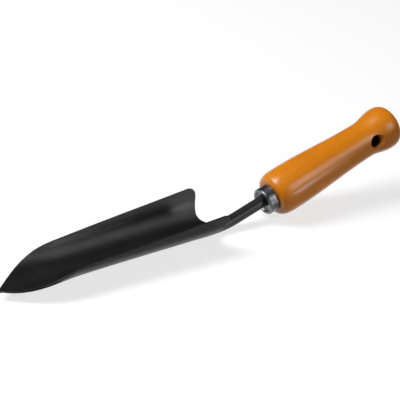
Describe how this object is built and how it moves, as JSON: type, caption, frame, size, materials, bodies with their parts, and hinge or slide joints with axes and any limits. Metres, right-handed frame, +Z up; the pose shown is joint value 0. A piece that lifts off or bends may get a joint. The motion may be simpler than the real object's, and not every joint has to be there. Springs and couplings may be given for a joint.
{
  "type": "root weeder",
  "caption": "Hand root weeder: narrow pointed trough blade on a cranked round neck, steel ferrule, turned wooden handle with a hanging hole",
  "frame": {"origin": "middle of the whole tool's length and width, at the height of the lowest point of the neck", "axes": "+X along the blade's keel from the point to the handle, +Z up out of the trough, +Y to the left when looking along +X"},
  "size_m": [0.3476, 0.043, 0.0676],
  "materials": {
    "blade_steel": "black powder coat, satin, lightly textured",
    "ferrule_steel": "dark burnished steel",
    "handle_wood": "close-grained hardwood under orange-brown gloss lacquer"
  },
  "bodies": {
    "root": {"blade": "blade_steel", "ferrule": "ferrule_steel", "handle": "handle_wood"}
  },
  "joints": []
}
